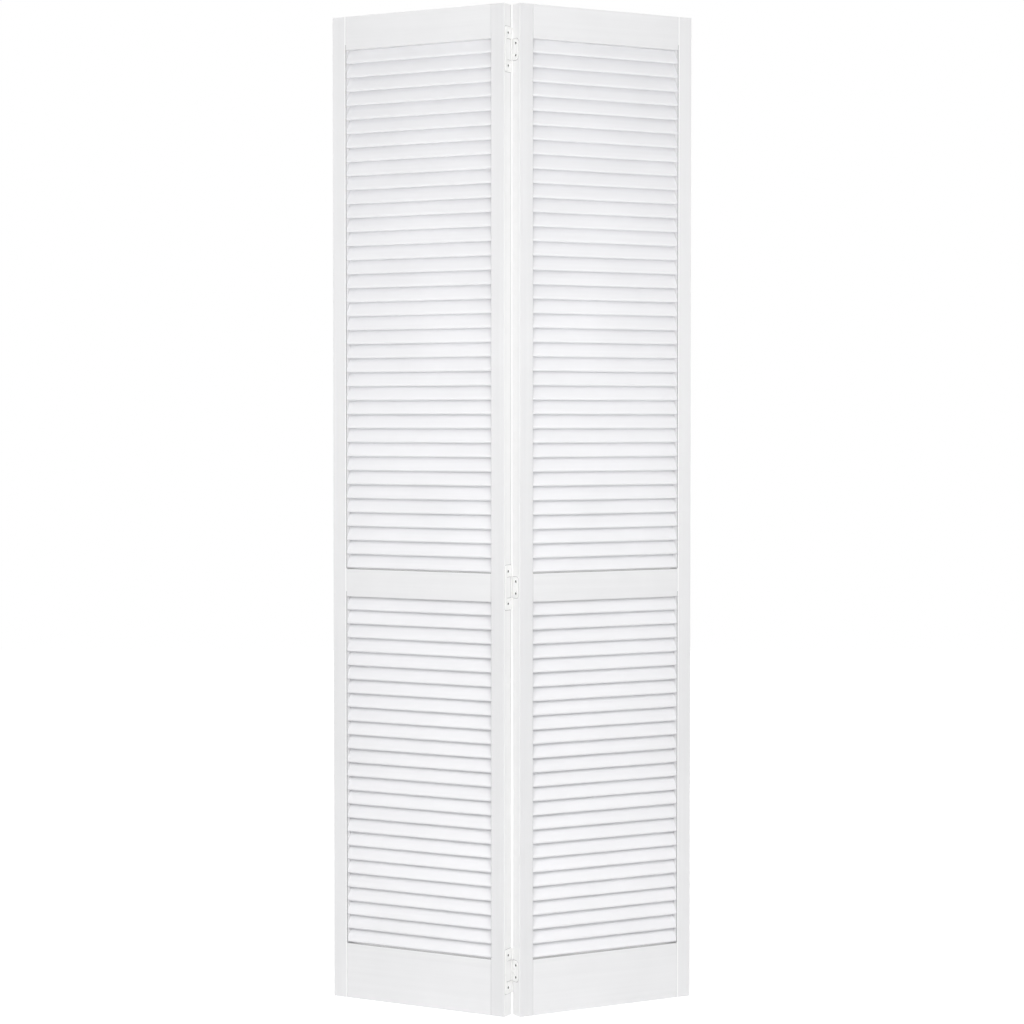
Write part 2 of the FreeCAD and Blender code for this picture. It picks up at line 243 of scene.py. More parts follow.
def add(tree, kind, inputs=None, **settings):
    """Adds a node with its settings, and gives each input a value, a socket or another node.

    A node stands for its first output in use.
    """
    made = tree.nodes.new("ShaderNode" + kind)
    for name, value in settings.items():
        setattr(made, name, value)
    for name, value in (inputs or {}).items():
        if isinstance(value, bpy.types.Node):
            value = next(socket for socket in value.outputs if socket.enabled)
        if isinstance(value, bpy.types.NodeSocket):
            tree.links.new(value, made.inputs[name])
        else:
            made.inputs[name].default_value = value
    return made


def new_material(name):
    """A material with an empty node tree."""
    material = bpy.data.materials.new(name)
    material.use_nodes = True
    material.node_tree.nodes.clear()
    return material, material.node_tree


def finish_material(tree, inputs):
    """Ends a material's tree with its shader, which takes these inputs, and its output."""
    add(tree, "OutputMaterial", {"Surface": add(tree, "BsdfPrincipled", inputs)})


def leaf_position(tree, leaf):
    """A point's place in the leaf's own frame, as a vector and as its X, Y and Z."""
    axis_in_leaf = Matrix.Rotation(-LEAF_ANGLE, 4, "Z") @ Vector((0, AXIS.y, 0))
    vector = add(tree, "Mapping", {
        "Vector": add(tree, "TexCoord").outputs["Object"],
        "Location": -axis_in_leaf,
        "Rotation": (0, 0, -LEAF_ANGLE),
        "Scale": (-1 if leaf == "pivot" else 1, 1, 1),
    })
    return vector, add(tree, "SeparateXYZ", {"Vector": vector}).outputs


# ---------------------------------------------------------------- marks in the paint, and painted light and shade

# Each mark is a mask: 1 where the coat looks different, else 0. Most of them paint in light and shade.

HAIRLINE = 1.4 * MM  # width of the line over an upright joint
WRAP = 1.1 * MM  # how far a mark on a face or an edge reaches round the arris


def patch(tree, place, **spans):
    """A box in the leaf's frame, given by its span along each axis that bounds it."""
    mask = 1.0
    for axis, (low, high) in spans.items():
        inside = add(tree, "Math", {0: place[axis], 1: (low + high) / 2, 2: (high - low) / 2},
                     operation="COMPARE")
        mask = add(tree, "Math", {0: mask, 1: inside}, operation="MULTIPLY")
    return mask


def near_faces(tree, place, mask, depth):
    """A mask, less what lies deeper than this under a leaf's front and back faces."""
    core = patch(tree, place, Y=(FRONT + depth, BACK - depth))
    return add(tree, "Math", {0: mask, 1: core}, operation="SUBTRACT", use_clamp=True)


def joint_line(tree, place, x):
    """The hairline of an upright joint."""
    line = patch(tree, place, X=(x - HAIRLINE / 2, x + HAIRLINE / 2))
    return near_faces(tree, place, line, WRAP)


def mortise_line(tree, place, x, depth):
    """A painted shadow line where the two banks of slats enter a stile."""
    lines = []
    for bank in BANKS:
        boxes = solids(f"lead_{bank}_slats", "lead")
        lines.append(patch(tree, place, X=(x - HAIRLINE / 2, x + HAIRLINE / 2),
                           Z=(boxes[0][0].z, boxes[-1][1].z)))
    line = add(tree, "Math", {0: lines[0], 1: lines[1]}, operation="ADD")
    return near_faces(tree, place, line, depth)


def ledge_line(tree, place, z):
    """A painted shadow line along a rail's upper arrises, under the first slat."""
    reach = 1.3 * MM
    return patch(tree, place, Z=(z - reach, z + reach))


def arris_highlight(tree, place, x):
    """A painted highlight 2.2 mm wide beside the joint, along the arris."""
    near, far, depth = 0.8 * MM, 3.0 * MM, 0.6 * MM
    return near_faces(tree, place, patch(tree, place, X=(x + near, x + far)), depth)


def meeting_edge(tree, place):
    """The whole of a hinge stile's outer edge."""
    depth = 0.6 * MM
    return patch(tree, place, X=(HINGE_EDGE - depth, HINGE_EDGE + depth))


def seam_shade(tree, place):
    """A painted shadow line on the last 3.5 mm of the meeting edge before the back arris, fainter near the foot.
    """
    width, faint = 3.5 * MM, 0.25
    fade_start, fade_end = 0.45, 0.7  # m above the floor
    strip = patch(tree, place, X=(HINGE_EDGE - WRAP, HINGE_EDGE + WRAP), Y=(BACK - width, BACK + width))
    fade = add(tree, "MapRange", {
        "Value": place["Z"], "From Min": fade_start, "From Max": fade_end, "To Min": faint})
    return add(tree, "Math", {0: strip, 1: fade}, operation="MULTIPLY")


def round_cornered(tree, place, box, corner, margin):
    """A hinge leaf's outline on the meeting edge, widened by a margin.

    The outline runs on past the barrel, so only its front corners are round.
    """
    low, high = box[0], box[1] + Vector((0, 2 * corner, 0))
    middle, reach = (low + high) / 2, (high - low) / 2
    past = {}
    for axis, name in ((1, "Y"), (2, "Z")):
        offset = add(tree, "Math", {0: place[name], 1: middle[axis]}, operation="SUBTRACT")
        distance = add(tree, "Math", {0: offset}, operation="ABSOLUTE")
        past[name] = add(tree, "Math", {0: distance, 1: reach[axis] - corner},
                         operation="SUBTRACT", use_clamp=True)
    length = add(tree, "VectorMath", {0: add(tree, "CombineXYZ", past)}, operation="LENGTH")
    return add(tree, "Math", {0: length, 1: 0.0, 2: corner + margin}, operation="COMPARE")


def plate_outline(tree, place, hinge, leaf, settings):
    """A painted shadow line 1 mm wide round a hinge leaf, on the timber that it's screwed to."""
    width, nest_corner = 1 * MM, settings.nest_corner
    nest = solids(f"{hinge}_hinge_inner_leaf", "lead")[0]
    if leaf == "lead":
        line = round_cornered(tree, place, nest, nest_corner, width)
    else:
        plate = solids(f"{hinge}_hinge_outer_leaf", "pivot")[0]
        whole = round_cornered(tree, place, plate, settings.outer_corner, width)
        notch = round_cornered(tree, place, nest, nest_corner, settings.nest_gap - width)
        line = add(tree, "Math", {0: whole, 1: notch}, operation="SUBTRACT", use_clamp=True)
    return add(tree, "Math", {0: line, 1: meeting_edge(tree, place)}, operation="MULTIPLY")


def bore_wall(tree, place, leaf, bore):
    """The wall of a bore for a pivot or the guide."""
    clearance, spare = 0.05 * MM, 1 * MM
    centre = PLACES[leaf].inverted() @ Vector(bore["pos_m"])
    radius = bore["dims"]["r_mm"] * MM + clearance
    reach = bore["dims"]["length_mm"] / 2 * MM + spare
    flat = add(tree, "CombineXYZ", {"X": place["X"], "Y": place["Y"]})
    distance = add(tree, "VectorMath", {0: flat, 1: (centre.x, centre.y, 0)}, operation="DISTANCE")
    near = add(tree, "Math", {0: distance, 1: 0.0, 2: radius}, operation="COMPARE")
    deep = patch(tree, place, Z=(centre.z - reach, centre.z + reach))
    return add(tree, "Math", {0: near, 1: deep}, operation="MULTIPLY")


# ---------------------------------------------------------------- materials

def thinner(colour, share):
    """A coat's colour where it's thin, as a share of its full brightness."""
    return tuple(share * channel for channel in colour[:3]) + (1.0,)


def grained(tree, vector, grain, offset):
    """Noise drawn out along the grain: early and late wood about 9 mm apart, 420 mm long."""
    across, lengthwise = 1 / (9 * MM), 1 / (420 * MM)
    stretch = {"x": (lengthwise, across, across), "z": (across, across, lengthwise)}[grain]
    fibres = add(tree, "Mapping", {"Vector": vector, "Scale": stretch, "Location": (offset, 0, 0)})
    return add(tree, "TexNoise", {"Vector": fibres, "Scale": 1.0, "Detail": 3.0, "Roughness": 0.55})


def sprayed_enamel(name, leaf, grain, colour, settings, marks=(), bores=()):
    """Satin waterborne enamel, sprayed on sanded pine.

    It gives a soft, even white. The grain telegraphs through as faint long ridges, the spray
    leaves an orange peel about 1 mm across, drawn here at 3.5 mm, and the coat's depth drifts
    over a hand's width. Each mark comes with its colour, and bores are left in bare pine.
    """
    hand_width, peel_width = 110 * MM, 3.5 * MM
    ridge_height, peel_height = 0.12 * MM, 0.05 * MM
    leaf_offset = 5.3  # in the noise's own units, so that the leaves' grain differs
    thick, thin_out = 1.35, 0.65  # sums of the two noises, at which the coat is thick and thin
    roughness_drift, raw_roughness = 0.05, 0.4
    material, tree = new_material(name)
    vector, place = leaf_position(tree, leaf)
    ridges = grained(tree, vector, grain, LEAVES.index(leaf) * leaf_offset)
    drift = add(tree, "TexNoise", {
        "Vector": vector, "Scale": 1 / hand_width, "Detail": 2.0, "Roughness": 0.5})
    peel = add(tree, "TexNoise", {
        "Vector": vector, "Scale": 1 / peel_width, "Detail": 1.0, "Roughness": 0.4})
    depth = add(tree, "Math", {0: ridges, 1: drift}, operation="ADD")
    thin = add(tree, "MapRange", {"Value": depth, "From Min": thick, "From Max": thin_out})
    coat = add(tree, "Mix", {
        "Factor": thin, MIX_PLAIN: tuple(colour), MIX_OVER: thinner(colour, 0.95)}, data_type="RGBA")
    for mark, finish in marks:
        coat = add(tree, "Mix", {
            "Factor": mark(tree, place), MIX_PLAIN: coat, MIX_OVER: tuple(finish)}, data_type="RGBA")
    roughness = add(tree, "MapRange", {
        "Value": drift, "From Min": 0.3, "From Max": 0.7,
        "To Min": settings.roughness - roughness_drift,
        "To Max": settings.roughness + roughness_drift})
    for bore in bores:
        bare = bore_wall(tree, place, leaf, bore)
        coat = add(tree, "Mix", {
            "Factor": bare, MIX_PLAIN: coat, MIX_OVER: bare_pine(tree, ridges)}, data_type="RGBA")
        roughness = add(tree, "Math", {0: bare, 1: raw_roughness, 2: roughness},
                        operation="MULTIPLY_ADD")
    ridge_relief = add(tree, "Bump", {"Height": ridges, "Strength": 0.35, "Distance": ridge_height})
    relief = add(tree, "Bump", {
        "Height": peel, "Normal": ridge_relief, "Strength": 0.3, "Distance": peel_height})
    finish_material(tree, {"Base Color": coat, "Roughness": roughness, "Normal": relief})
    return material


def bare_pine(tree, ridges):
    """Unpainted pine inside the bores: pale early wood with amber late wood."""
    return add(tree, "Mix", {"Factor": ridges, MIX_PLAIN: linear("#E0C294"),
                             MIX_OVER: linear("#C79A5E")}, data_type="RGBA")


def stoved_enamel(colour):
    """White stoved enamel on pressed steel: hard, smooth and a little glossier than the paint.

    The coat pulls into slow waves about 6 mm across as it flows in the oven.
    """
    wave_width, wave_height = 6 * MM, 0.05 * MM
    material, tree = new_material("stoved_enamel")
    flow = add(tree, "TexNoise", {
        "Vector": add(tree, "TexCoord").outputs["Object"],
        "Scale": 1 / wave_width, "Detail": 1.0, "Roughness": 0.4})
    finish_material(tree, {
        "Base Color": add(tree, "Mix", {
            "Factor": flow, MIX_PLAIN: tuple(colour), MIX_OVER: thinner(colour, 0.97)},
            data_type="RGBA"),
        "Roughness": add(tree, "MapRange", {"Value": flow, "To Min": 0.24, "To Max": 0.34}),
        "Normal": add(tree, "Bump", {"Height": flow, "Strength": 0.25, "Distance": wave_height})})
    return material


def shaded_recess_steel():
    """Steel in the screws' recesses, nearly black: bare steel where the driver has stripped the enamel, darkened
    further as painted shade for the shadow inside the recesses.

    It is scuffed in patches about 0.8 mm across.
    """
    scuff_width = 0.8 * MM
    material, tree = new_material("shaded_recess_steel")
    scuffs = add(tree, "TexNoise", {
        "Vector": add(tree, "TexCoord").outputs["Object"],
        "Scale": 1 / scuff_width, "Detail": 2.0, "Roughness": 0.6})
    finish_material(tree, {
        "Base Color": add(tree, "Mix", {
            "Factor": scuffs, MIX_PLAIN: linear("#121214"), MIX_OVER: linear("#262628")},
            data_type="RGBA"),
        "Metallic": 0.6, "Roughness": 0.5})
    return material


def zinc_plate():
    """Bright zinc plate on drawn steel, with fine rings 0.7 mm apart left by turning."""
    ring_gap, ring_reach = 0.7 * MM, 25 * MM
    material, tree = new_material("zinc_plate")
    rings = add(tree, "Mapping", {
        "Vector": add(tree, "TexCoord").outputs["Object"],
        "Scale": (1 / ring_reach, 1 / ring_reach, 1 / ring_gap)})
    turned = add(tree, "TexNoise", {"Vector": rings, "Scale": 1.0, "Detail": 2.0})
    finish_material(tree, {
        "Base Color": add(tree, "Mix", {
            "Factor": turned, MIX_PLAIN: linear("#B9BCC0"), MIX_OVER: linear("#D2D4D6")},
            data_type="RGBA"),
        "Metallic": 1.0,
        "Roughness": add(tree, "MapRange", {"Value": turned, "To Min": 0.24, "To Max": 0.4})})
    return material


def turned_beech(leaf):
    """Beech dowel rod, unpainted: warm tan with the short dark flecks of its rays.

    Rays are about 2.5 mm long and 0.4 mm wide, and growth lines 60 mm long and 3 mm apart.
    """
    line_length, line_gap, line_height = 60 * MM, 3 * MM, 0.1 * MM
    ray_length, ray_width = 2.5 * MM, 0.4 * MM
    material, tree = new_material(f"{leaf}_turned_beech")
    vector, _ = leaf_position(tree, leaf)
    growth = add(tree, "Mapping", {
        "Vector": vector, "Scale": (1 / line_length, 1 / line_gap, 1 / line_gap)})
    lines = add(tree, "TexNoise", {"Vector": growth, "Scale": 1.0, "Detail": 2.0})
    rays = add(tree, "Mapping", {
        "Vector": vector, "Scale": (1 / ray_length, 1 / ray_width, 1 / ray_width)})
    flecks = add(tree, "TexNoise", {"Vector": rays, "Scale": 1.0, "Detail": 1.0})
    dark = add(tree, "MapRange", {"Value": flecks, "From Min": 0.6, "From Max": 0.7})
    wood = add(tree, "Mix", {"Factor": lines, MIX_PLAIN: linear("#D3AC80"),
                             MIX_OVER: linear("#BE9165")}, data_type="RGBA")
    finish_material(tree, {
        "Base Color": add(tree, "Mix", {
            "Factor": dark, MIX_PLAIN: wood, MIX_OVER: linear("#9C6E45")}, data_type="RGBA"),
        "Roughness": 0.62,
        "Normal": add(tree, "Bump", {"Height": lines, "Strength": 0.3, "Distance": line_height})})
    return material


# ---------------------------------------------------------------- pieces

SHARP_ANGLE = math.radians(32)  # edges that turn more than this aren't shaded smooth
NEARLY_ALL = 0.999  # share of an edge's length that has to lie along an axis


def dress(node_name, material):
    """Gives a CAD node its material in every slot."""
    mesh = frame["nodes"][node_name].data
    mesh.materials.clear()
    mesh.materials.append(material)


def fit(shape, name, leaf, materials, node):
    """Puts a shape drawn in a leaf's frame in its place, as a piece that stands for a CAD node."""
    bmesh.ops.transform(shape, matrix=PLACES[leaf], verts=shape.verts)
    bmesh.ops.recalc_face_normals(shape, faces=shape.faces)
    loose = [edge for edge in shape.edges if len(edge.link_faces) != 2]
    if loose:
        raise RuntimeError(f"{name} isn't closed: {len(loose)} open edges")
    mesh = bpy.data.meshes.new(name)
    shape.to_mesh(mesh)
    shape.free()
    mesh.shade_smooth()
    mesh.set_sharp_from_angle(angle=SHARP_ANGLE)
    for material in materials:
        mesh.materials.append(material)
    piece = bpy.data.objects.new(name, mesh)
    bpy.context.scene.collection.objects.link(piece)
    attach(piece, f"{leaf}_leaf")
    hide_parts(node)


def copied(shape, template):
    """Adds a copy of a template mesh to a shape, and returns the copy's vertices."""
    first = len(shape.verts)
    shape.from_mesh(template)
    shape.verts.ensure_lookup_table()
    return shape.verts[first:]


def parallel(edge, axis):
    """Whether an edge lies along X, Y or Z, given as 0, 1 or 2."""
    along = edge.verts[1].co - edge.verts[0].co
    return abs(along[axis]) > NEARLY_ALL * along.length


def slat_template(length, width, thickness):
    """A planed slat along X, with fully rounded long edges and a few divisions to bend at."""
    rounding = 0.49 * thickness  # just under half, so that the two rounds don't meet
    shape = bmesh.new()
    bmesh.ops.create_cube(shape, size=1)
    bmesh.ops.scale(shape, vec=(length, width, thickness), verts=shape.verts)
    bmesh.ops.bevel(shape, geom=[e for e in shape.edges if parallel(e, 0)], offset=rounding,
                    segments=4, profile=0.5, affect="EDGES", material=-1)
    bmesh.ops.subdivide_edges(shape, edges=[e for e in shape.edges if parallel(e, 0)], cuts=5)
    mesh = bpy.data.meshes.new("slat_template")
    shape.to_mesh(mesh)
    shape.free()
    return mesh


def louvres(leaf, bank, settings, dice):
    """A bank of slats, each with its own slight bow and lean."""
    boxes = solids(f"{leaf}_{bank}_slats", leaf)
    low, high = boxes[0]
    thickness = settings.slat_thickness
    run, rise = high.y - low.y - thickness, high.z - low.z - thickness
    length, width = high.x - low.x, math.hypot(run, rise) + thickness
    template = slat_template(length, width, thickness)
    shape = bmesh.new()
    for low, high in boxes:
        verts = copied(shape, template)
        bow = dice.uniform(-1, 1) * settings.slat_bow
        for vertex in verts:
            vertex.co.z += bow * math.cos(math.pi * vertex.co.x / length)
        lean = math.atan2(rise, run) + dice.uniform(-1, 1) * settings.slat_twist
        place = Matrix.Translation((low + high) / 2) @ Matrix.Rotation(lean, 4, "X")
        bmesh.ops.transform(shape, matrix=place, verts=verts)
    bpy.data.meshes.remove(template)
    return shape


def fluted_dowels(leaf, rail, settings):
    """Dowels with straight glue flutes and chamfered ends."""
    flutes, chamfer = 16, 0.8 * MM
    shape = bmesh.new()
    for low, high in solids(f"{leaf}_{rail}_rail_dowels", leaf):
        radius = (high.z - low.z) / 2
        turn = Matrix.Translation((low + high) / 2) @ Matrix.Rotation(math.pi / 2, 4, "Y")
        rod = bmesh.ops.create_cone(shape, cap_ends=True, segments=2 * flutes, radius1=radius,
                                    radius2=radius, depth=high.x - low.x)["verts"]
        for vertex in rod:
            step = round(math.atan2(vertex.co.y, vertex.co.x) / (math.pi / flutes))
            if step % 2:
                vertex.co.xy *= 1 - settings.dowel_flute / radius
        rims = {e for v in rod for e in v.link_edges if not parallel(e, 2)}
        bevelled = bmesh.ops.bevel(shape, geom=list(rims), offset=chamfer, segments=2, profile=0.5,
                                   affect="EDGES", material=-1)["verts"]
        whole = {v for v in rod if v.is_valid} | set(bevelled)
        bmesh.ops.transform(shape, matrix=turn, verts=list(whole))
    return shape


# ---------------------------------------------------------------- hinges

def pressed_plate(shape, outline, rounds, holes, settings):
    """A flat pressed plate with rounded corners, countersunk holes and softened outer rims.

    The outline and the holes are given by Y and Z. Its back lies on the leaf's edge.
    """
    face_x = HINGE_EDGE - settings.plate
    on_rim = 1.01  # a vertex within this many hole radii is on the hole's rim
    corners = [shape.verts.new((face_x, y, z)) for y, z in outline]
    shape.faces.new(corners)
    for corner, radius in rounds.items():
        bmesh.ops.bevel(shape, geom=[corners[corner]], offset=radius, segments=8, profile=0.5,
                        affect="VERTICES", material=-1)
    blank = next(iter(shape.faces))
    rim = list(blank.edges)
    bmesh.ops.delete(shape, geom=[blank], context="FACES_ONLY")
    outward = Matrix.Rotation(math.pi / 2, 4, "Y")
    for centre, radius in holes:
        place = Matrix.Translation((face_x, centre.y, centre.z)) @ outward
        circle = bmesh.ops.create_circle(shape, segments=32, radius=radius, matrix=place)["verts"]
        rim += list({e for v in circle for e in v.link_edges})
    filled = bmesh.ops.triangle_fill(shape, edges=rim, use_beauty=True, normal=(1, 0, 0))["geom"]
    faces = [g for g in filled if isinstance(g, bmesh.types.BMFace)]
    back = bmesh.ops.extrude_face_region(shape, geom=faces)["geom"]
    back_verts = [g for g in back if isinstance(g, bmesh.types.BMVert)]
    bmesh.ops.translate(shape, vec=(settings.plate, 0, 0), verts=back_verts)
    for centre, radius in holes:
        for vertex in back_verts:
            offset = vertex.co.yz - centre.yz
            if offset.length < on_rim * radius:
                vertex.co.yz = centre.yz + offset * (1 - settings.plate / radius)
    soften_rim(shape, face_x, settings)


def soften_rim(shape, face_x, settings):
    """Rounds the square edges of a plate's outer face, and not its countersinks' edges."""
    square = 1  # radian
    rim = [e for e in shape.edges if all(abs(v.co.x - face_x) < SAME_POINT for v in e.verts)
           and e.calc_face_angle(0) > square]
    bmesh.ops.bevel(shape, geom=rim, offset=settings.soft_rim, segments=2, profile=0.5,
                    affect="EDGES", material=-1)


def rolled_knuckle(bottom, top, barrel, settings):
    """The plate's end rolled round the pin, with a slit where the roll comes back to the plate."""
    shape = bmesh.new()
    start, sweep = math.radians(-85), math.radians(337)
    direction = Vector((math.cos(start), math.sin(start), 0))
    corners = [shape.verts.new(direction * radius + Vector((0, 0, z))) for radius, z in (
        (barrel - settings.plate, bottom), (barrel, bottom),
        (barrel, top), (barrel - settings.plate, top))]
    shape.faces.new(corners)
    bmesh.ops.bevel(shape, geom=corners[1:3], offset=settings.soft_rim, segments=2, profile=0.5,
                    affect="VERTICES", material=-1)
    section = shape.faces[:] + shape.edges[:] + shape.verts[:]
    bmesh.ops.spin(shape, geom=section, cent=(0, 0, 0), axis=(0, 0, 1), dvec=(0, 0, 0),
                   angle=sweep, steps=24, use_merge=False, use_duplicate=False)
    return shape


def joined(shape, other):
    """Adds another shape to a shape, and frees it."""
    mesh = bpy.data.meshes.new("joined")
    other.to_mesh(mesh)
    other.free()
    shape.from_mesh(mesh)
    bpy.data.meshes.remove(mesh)


def screw_holes(node, leaf):
    """Middle of the head and head radius of each screw in a CAD node, in the leaf's frame."""
    return [((low + high) / 2, (high.z - low.z) / 2) for low, high in solids(node, leaf)]


def outer_hinge_leaf(hinge, settings):
    """The C-shaped leaf on the pivot leaf's edge, with a knuckle at each end of its barrel."""
    low, high = solids(f"{hinge}_hinge_outer_leaf", "pivot")[0]
    nest_low, nest_high = solids(f"{hinge}_hinge_inner_leaf", "lead")[0]
    gap, root = settings.nest_gap, -(high.x - settings.plate)
    notch = (nest_low.z - gap, nest_high.z + gap)
    outline = [(root, low.z), (low.y, low.z), (low.y, high.z), (root, high.z), (root, notch[1]),
               (nest_low.y - gap, notch[1]), (nest_low.y - gap, notch[0]), (root, notch[0])]
    rounds = {1: settings.outer_corner, 2: settings.outer_corner,
              5: settings.nest_corner, 6: settings.nest_corner}
    shape = bmesh.new()
    pressed_plate(shape, outline, rounds, screw_holes(f"{hinge}_hinge_outer_screws", "pivot"), settings)
    for bottom, top in ((low.z, notch[0]), (notch[1], high.z)):
        joined(shape, rolled_knuckle(bottom, top, high.x, settings))
    return shape


def inner_hinge_leaf(hinge, settings):
    """The leaf on the lead leaf's edge, which nests in the outer one and turns on the pin."""
    low, high = solids(f"{hinge}_hinge_inner_leaf", "lead")[0]
    root = -(high.x - settings.plate)
    outline = [(root, low.z), (low.y, low.z), (low.y, high.z), (root, high.z)]
    rounds = {1: settings.nest_corner, 2: settings.nest_corner}
    shape = bmesh.new()
    pressed_plate(shape, outline, rounds, screw_holes(f"{hinge}_hinge_inner_screws", "lead"), settings)
    joined(shape, rolled_knuckle(low.z, high.z, high.x, settings))
    return shape


def hinge_pin(hinge):
    """A pin with domed ends."""
    low, high = solids(f"{hinge}_hinge_pin", "pivot")[0]
    radius = high.x
    dome = 0.6 * radius
    shape = bmesh.new()
    bmesh.ops.create_cone(shape, cap_ends=True, segments=24, radius1=radius, radius2=radius,
                          depth=high.z - low.z)
    rims = [e for e in shape.edges if not parallel(e, 2)]
    bmesh.ops.bevel(shape, geom=rims, offset=dome, segments=4, profile=0.5,
                    affect="EDGES", material=-1)
    bmesh.ops.translate(shape, vec=(0, 0, (low.z + high.z) / 2), verts=shape.verts)
    return shape


def screw_shank(shape, length, head, settings):
    """A countersunk screw's skin from the rim of its head to its point, along +X."""
    crest, core = 1.75 * MM, 1.25 * MM  # radii
    plain, point = 5 * MM, 3 * MM  # lengths of the unthreaded neck and the point
    ridge_foot, sunk = 0.8 * MM, 0.05 * MM  # the thread's width, and how deep it sits in the core
    outline = [(0, head), (head - crest, crest), (plain, crest), (plain + crest - core, core),
               (length - point, core), (length, 0)]
    verts = [shape.verts.new((x, radius, 0)) for x, radius in outline]
    edges = [shape.edges.new(pair) for pair in zip(verts, verts[1:])]
    bmesh.ops.spin(shape, geom=verts + edges, cent=(0, 0, 0), axis=(1, 0, 0), dvec=(0, 0, 0),
                   angle=math.tau, steps=24, use_merge=True, use_duplicate=False)
    bmesh.ops.remove_doubles(shape, verts=shape.verts, dist=SAME_POINT)
    thread = bmesh.new()
    ridge = [thread.verts.new((plain + x, radius, 0)) for x, radius in (
        (0, core - sunk), (ridge_foot, core - sunk), (ridge_foot / 2, crest))]
    thread.faces.new(ridge)
    turns = int((length - point - plain) / settings.thread_pitch)
    steps = 12  # in a turn
    bmesh.ops.spin(thread, geom=thread.faces[:] + thread.edges[:] + thread.verts[:],
                   cent=(0, 0, 0), axis=(1, 0, 0), dvec=(settings.thread_pitch / steps, 0, 0),
                   angle=math.tau * turns, steps=steps * turns, use_merge=False,
                   use_duplicate=False)
    joined(shape, thread)


def cross_recess(shape, settings):
    """Closes a screw's head round a tapered cross recess, whose faces take the second material."""
    floor_share = 0.4  # the recess's floor, as a share of its mouth
    rim = [e for e in shape.edges if e.is_boundary]
    arm, tip = settings.recess_arm / 2, settings.recess_span / 2
    quarter = [Vector((0, arm, tip)), Vector((0, arm, arm)), Vector((0, tip, arm))]
    points = [Matrix.Rotation(-k * math.pi / 2, 3, "X") @ p for k in range(4) for p in quarter]
    mouth = shape.faces.new([shape.verts.new(p) for p in points])
    mouth_edges = list(mouth.edges)
    floor = bmesh.ops.extrude_face_region(shape, geom=[mouth])["geom"]
    floor_verts = [g for g in floor if isinstance(g, bmesh.types.BMVert)]
    bmesh.ops.scale(shape, vec=(1, floor_share, floor_share), verts=floor_verts)
    bmesh.ops.translate(shape, vec=(settings.recess_depth, 0, 0), verts=floor_verts)
    for face in {f for v in floor_verts for f in v.link_faces}:
        face.material_index = 1
    bmesh.ops.delete(shape, geom=[mouth], context="FACES_ONLY")
    bmesh.ops.triangle_fill(shape, edges=rim + mouth_edges, use_beauty=True, normal=(-1, 0, 0))


def wood_screws(node, leaf, settings, dice):
    """Countersunk cross-recess wood screws, each stopped at its own angle."""
    shape = bmesh.new()
    for low, high in solids(node, leaf):
        screw = bmesh.new()
        screw_shank(screw, high.x - low.x, (high.z - low.z) / 2, settings)
        cross_recess(screw, settings)
        middle = (low + high) / 2
        place = Matrix.Translation((low.x, middle.y, middle.z))
        turn = Matrix.Rotation(dice.uniform(0, math.pi / 2), 4, "X")
        bmesh.ops.transform(screw, matrix=place @ turn, verts=screw.verts)
        joined(shape, screw)
    return shape


# ---------------------------------------------------------------- operators

class DOOR_OT_paint_frame(bpy.types.Operator):
    """Paints the stiles and rails"""
    bl_idname = "louvred_door.paint_frame"
    bl_label = "Paint the frame"

    def execute(self, context):
        settings = context.scene.door_paint
        hinge_settings = context.scene.door_hinges
        outer_wrap = 2 * MM
        all_bores = [m for m in frame["record"]["mounts"] if m["kind"] == "bore"]
        for leaf in LEAVES:
            side = -1 if leaf == "pivot" else 1
            bores = [bore for bore in all_bores if bore["pos_m"][0] * side > 0]
            ledges = [solids(f"{leaf}_{rail}_rail", leaf)[0][1].z for rail in ("lock", "bottom")]
            marks = [(partial(joint_line, x=x), settings.joint_line)
                     for x in (OPENING_START, OPENING_END)]
            # Painted shade along the lock and bottom rails' top arrises, under the first slats.
            marks += [(partial(ledge_line, z=z), settings.crevice_shade) for z in ledges]
            rail_enamel = sprayed_enamel(
                f"{leaf}_rail_enamel", leaf, "x", settings.frame_paint, settings, marks)
            for rail in RAILS:
                dress(f"{leaf}_{rail}_rail", rail_enamel)
            # The outer stiles get a painted highlight along their inner arrises and painted shade where the slats
            # enter them.
            dress(f"{leaf}_outer_stile", sprayed_enamel(
                f"{leaf}_outer_stile_enamel", leaf, "z", settings.frame_paint, settings,
                [(partial(arris_highlight, x=OPENING_END), settings.arris_highlight_paint),
                 (partial(mortise_line, x=OPENING_END, depth=outer_wrap), settings.crevice_shade)], bores))
            dress(f"{leaf}_hinge_stile", sprayed_enamel(
                f"{leaf}_hinge_stile_enamel", leaf, "z", settings.shaded_stile_paint, settings,
                self.hinge_stile_marks(leaf, settings, hinge_settings)))
        return {"FINISHED"}

    def hinge_stile_marks(self, leaf, settings, hinge_settings):
        """The joint line, the painted shade beside the slats and along the pivot leaf's back arris, the meeting
        edge whitened as a painted highlight and the painted shadow round the plates, with their colours.
        """
        marks = [(partial(joint_line, x=OPENING_START), settings.joint_line),
                 (partial(mortise_line, x=OPENING_START, depth=WRAP), settings.crevice_shade),
                 # The meeting edge is whitened: a painted highlight in the fold.
                 (meeting_edge, settings.lit_edge_paint)]
        if leaf == "pivot":
            # The pivot leaf's back arris gets a painted shadow line.
            marks.append((seam_shade, settings.seam_shade_paint))
        for hinge in HINGES:
            outline = partial(plate_outline, hinge=hinge, leaf=leaf, settings=hinge_settings)
            # Painted shadow round each hinge plate.
            marks.append((outline, settings.plate_shadow))
        return marks


